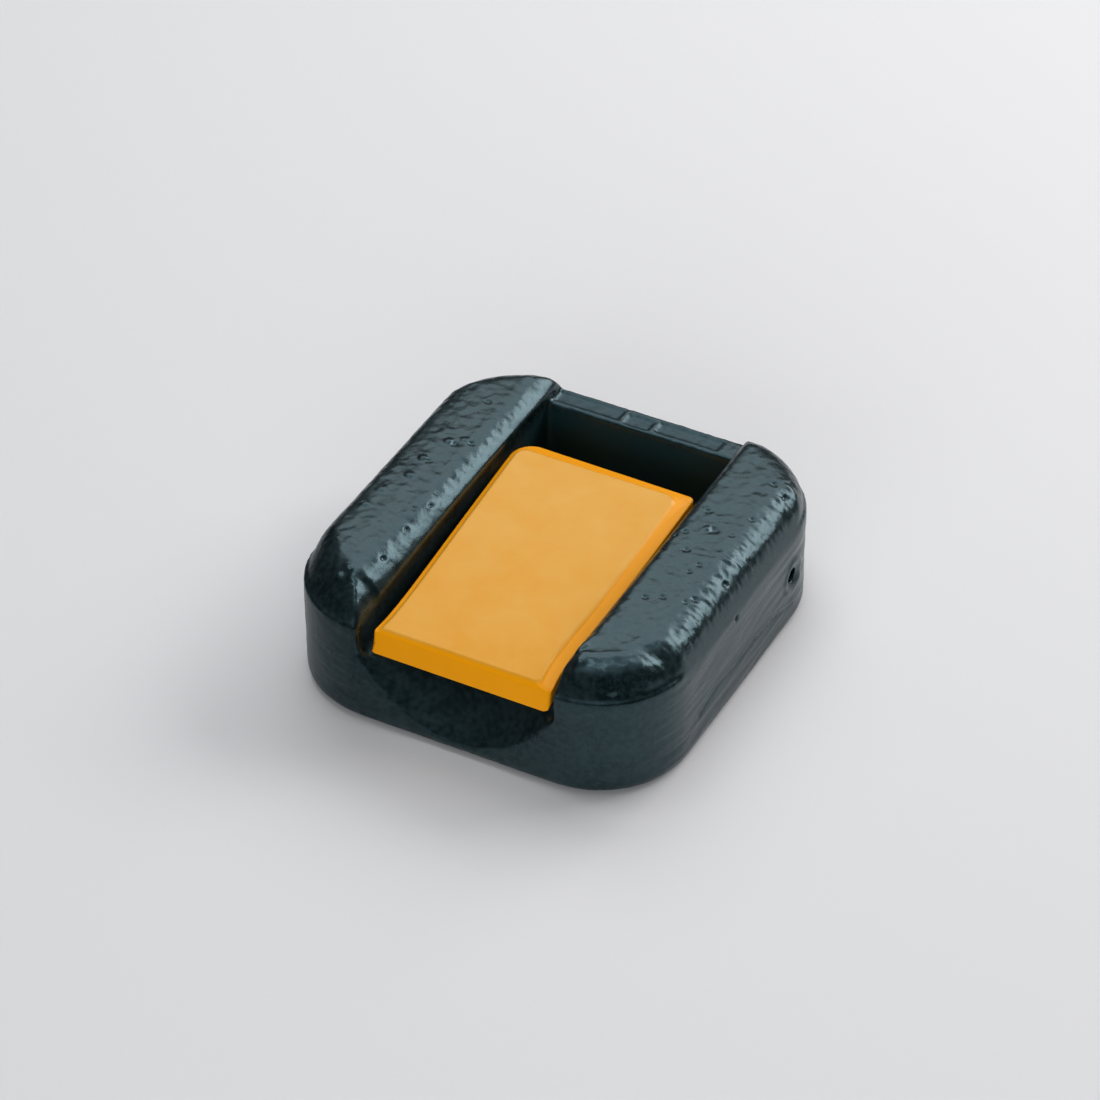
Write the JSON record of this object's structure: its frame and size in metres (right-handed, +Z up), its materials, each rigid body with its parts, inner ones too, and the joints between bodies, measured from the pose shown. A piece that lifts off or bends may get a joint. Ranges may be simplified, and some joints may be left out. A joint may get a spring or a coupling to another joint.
{
  "type": "diving weight",
  "caption": "Plastic-coated lead weight for a diver's belt, with a spring-held lever that opens upwards so the webbing can be laid in or taken out without threading.",
  "frame": {"origin": "under the middle of the flat base", "axes": "+Z up off the base, +Y from the lever's lip towards its hinge, +X along the hinge pin, which is also the way the belt runs"},
  "size_m": [0.077, 0.0806, 0.0273],
  "materials": {
    "coating": "gloss",
    "lead": "matte",
    "lever_plastic": "gloss",
    "stainless": "satin",
    "spring_wire": "satin"
  },
  "bodies": {
    "weight": {"coating": "coating", "lead_core": "lead", "hinge_pin": "stainless", "torsion_spring": "spring_wire"},
    "lever": {"release_lever": "lever_plastic"}
  },
  "joints": [
    {"name": "lever_hinge", "type": "hinge", "parent": "weight", "child": "lever", "pos_m": [0, 0.02124, 0.0116], "axis": [-1, 0, 0], "range_deg": [0, 90], "stiffness_Nm_per_rad": 0.04, "springref_deg": -45.84, "deforming": ["torsion_spring"]}
  ]
}
